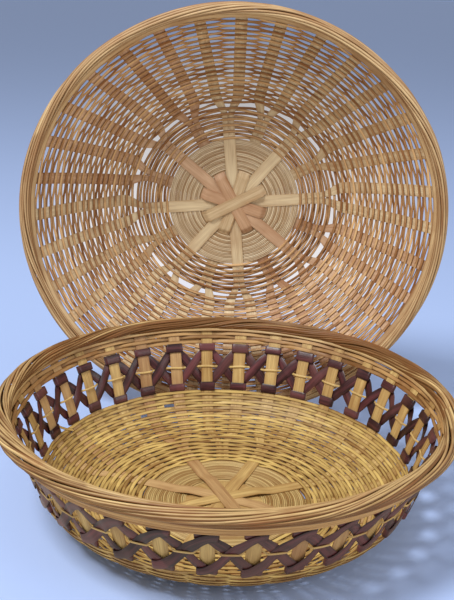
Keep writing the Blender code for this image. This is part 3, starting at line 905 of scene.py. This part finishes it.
# The lid's rim
# A flat hoop of split bamboo lies inside the stakes' tops, and a border of fine strands is rolled
# over them. It has no bundle outside.
LID_HOOP_BELOW_TOP = 0.0030
LID_HOOP_INSIDE = -0.0013
LID_HOOP_WIDTH = 0.0036
LID_BORDER_HALF = (0.0027, 0.0027)
LID_BORDER_STRANDS = 12
LID_BORDER_WINDS = 2
turn = np.linspace(0.0, math.tau, STAKES * 8, endpoint=False)
lid_rim_bamboo = bamboo("lid_rim_bamboo", (0.84, 0.61, 0.33), (0.30, 0.14, 0.05), (0.36, 0.16, 0.06),
                        blotches=0.45, painted_edge_shade=0.8)
rng = np.random.default_rng(25)
distance = lid_top - LID_HOOP_BELOW_TOP + slow(turn, rng, 0.0002)
tone = 0.7 + patches(turn, rng, 0.08, 4)
hoop = laid(lid_wall, turn, distance, LID_HOOP_INSIDE, LID_HOOP_WIDTH, HOOP_THICKNESS, tone, True)
piece("lid_rim_inner_hoop", [hoop], lid_rim_bamboo, "lid", lid_place, seed=104)
border = rolled(LID_RIM, LID_BORDER_HALF, LID_BORDER_STRANDS, LID_BORDER_WINDS, rng, tone=0.66)
piece("lid_rim_border", border, lid_rim_bamboo, "lid", lid_place, seed=105)


# Floor
# A plain pale floor that looks bluish and bounces plain light. Far behind the lid it is almost white,
# in a long soft patch that shows through the lid's slits.
FLOOR_HALF = 40.0
FLOOR_COLOUR = (0.47, 0.62, 1.0)
FLOOR_FAR_COLOUR = (0.98, 0.95, 0.97)
FLOOR_BOUNCE = (0.62, 0.60, 0.58)
FLOOR_ROUGHNESS = 0.9
LID_DISTANCE = 0.565
PATCH_HALF_WIDTH = 0.124 / LID_DISTANCE
PATCH_HALF_HEIGHT = 0.116 / LID_DISTANCE
PATCH_MIDDLE = (VIEW_FROM[2] - 0.128) / LID_DISTANCE
PATCH_EDGE = (1.05, 0.5)
PATCH_FROM = 0.16
PATCH_FULL = 0.45
NEAREST = 0.1
floor_mesh = bpy.data.meshes.new("floor")
floor_mesh.from_pydata([(-FLOOR_HALF, -FLOOR_HALF, 0), (FLOOR_HALF, -FLOOR_HALF, 0),
                        (FLOOR_HALF, FLOOR_HALF, 0), (-FLOOR_HALF, FLOOR_HALF, 0)], [], [(0, 1, 2, 3)])
floor = bpy.data.objects.new("floor", floor_mesh)
bpy.context.scene.collection.objects.link(floor)
floor_material = bpy.data.materials.new("floor")
floor_material.use_nodes = True
tree = floor_material.node_tree
place = node(tree, "ShaderNodeTexCoord").outputs["Object"]
x, y = node(tree, "ShaderNodeSeparateXYZ", {0: place}).outputs[:2]

# The patch is the lid's shadow from the main view's place: an ellipse in slopes, which are x and the
# drop to the floor over the distance from there.
away = reckoned(tree, "MAXIMUM", reckoned(tree, "SUBTRACT", y, VIEW_FROM[1]), NEAREST)
aside = reckoned(tree, "DIVIDE", reckoned(tree, "DIVIDE", x, away), PATCH_HALF_WIDTH)
fall = reckoned(tree, "DIVIDE", VIEW_FROM[2], away)
below = reckoned(tree, "DIVIDE", reckoned(tree, "SUBTRACT", fall, PATCH_MIDDLE), PATCH_HALF_HEIGHT)
aside_squared = reckoned(tree, "MULTIPLY", aside, aside)
below_squared = reckoned(tree, "MULTIPLY", below, below)
patch = ranged(tree, reckoned(tree, "ADD", aside_squared, below_squared), *PATCH_EDGE)
behind = ranged(tree, y, PATCH_FROM, PATCH_FULL)
whiteness = reckoned(tree, "MULTIPLY", patch, behind)
seen = mixed(tree, whiteness, (*FLOOR_COLOUR, 1.0), (*FLOOR_FAR_COLOUR, 1.0))
camera_ray = node(tree, "ShaderNodeLightPath").outputs["Is Camera Ray"]
colour = mixed(tree, camera_ray, (*FLOOR_BOUNCE, 1.0), seen)
tree.links.new(colour, tree.nodes["Principled BSDF"].inputs["Base Color"])
tree.nodes["Principled BSDF"].inputs["Roughness"].default_value = FLOOR_ROUGHNESS
floor_mesh.materials.append(floor_material)


# Light
# An even white sky, a soft key lamp from the front left and a weak one from the right. To the camera
# the sky has the colour of the far floor.
SKY_LIGHT = 0.40
SKY_COLOUR = (0.20, 0.265, 0.43)
LAMPS_TARGET = (0.0, 0.05, 0.08)
world = bpy.data.worlds.new("studio")
world.use_nodes = True
tree = world.node_tree
sky = tree.nodes["Background"]
sky.inputs["Color"].default_value = (1.0, 1.0, 1.0, 1.0)
sky.inputs["Strength"].default_value = SKY_LIGHT
seen_sky = node(tree, "ShaderNodeBackground", {"Color": (*SKY_COLOUR, 1.0)})
rays = node(tree, "ShaderNodeLightPath").outputs
direct = reckoned(tree, "ADD", rays["Is Camera Ray"], rays["Is Transmission Ray"], clamp=True)
either = node(tree, "ShaderNodeMixShader", {0: direct, 1: sky.outputs[0], 2: seen_sky.outputs[0]})
tree.links.new(either.outputs[0], tree.nodes["World Output"].inputs["Surface"])
bpy.context.scene.world = world


def lamp(name, place, size, power):
    """A white square lamp that faces the basket."""
    made = bpy.data.objects.new(name, bpy.data.lights.new(name, "AREA"))
    made.data.size = size
    made.data.energy = power
    made.location = place
    made.rotation_euler = look(place, LAMPS_TARGET)
    bpy.context.scene.collection.objects.link(made)


lamp("key", place=(-0.6, -0.6, 1.4), size=0.4, power=20.0)
lamp("fill", place=(1.2, -0.5, 0.7), size=0.8, power=5.0)
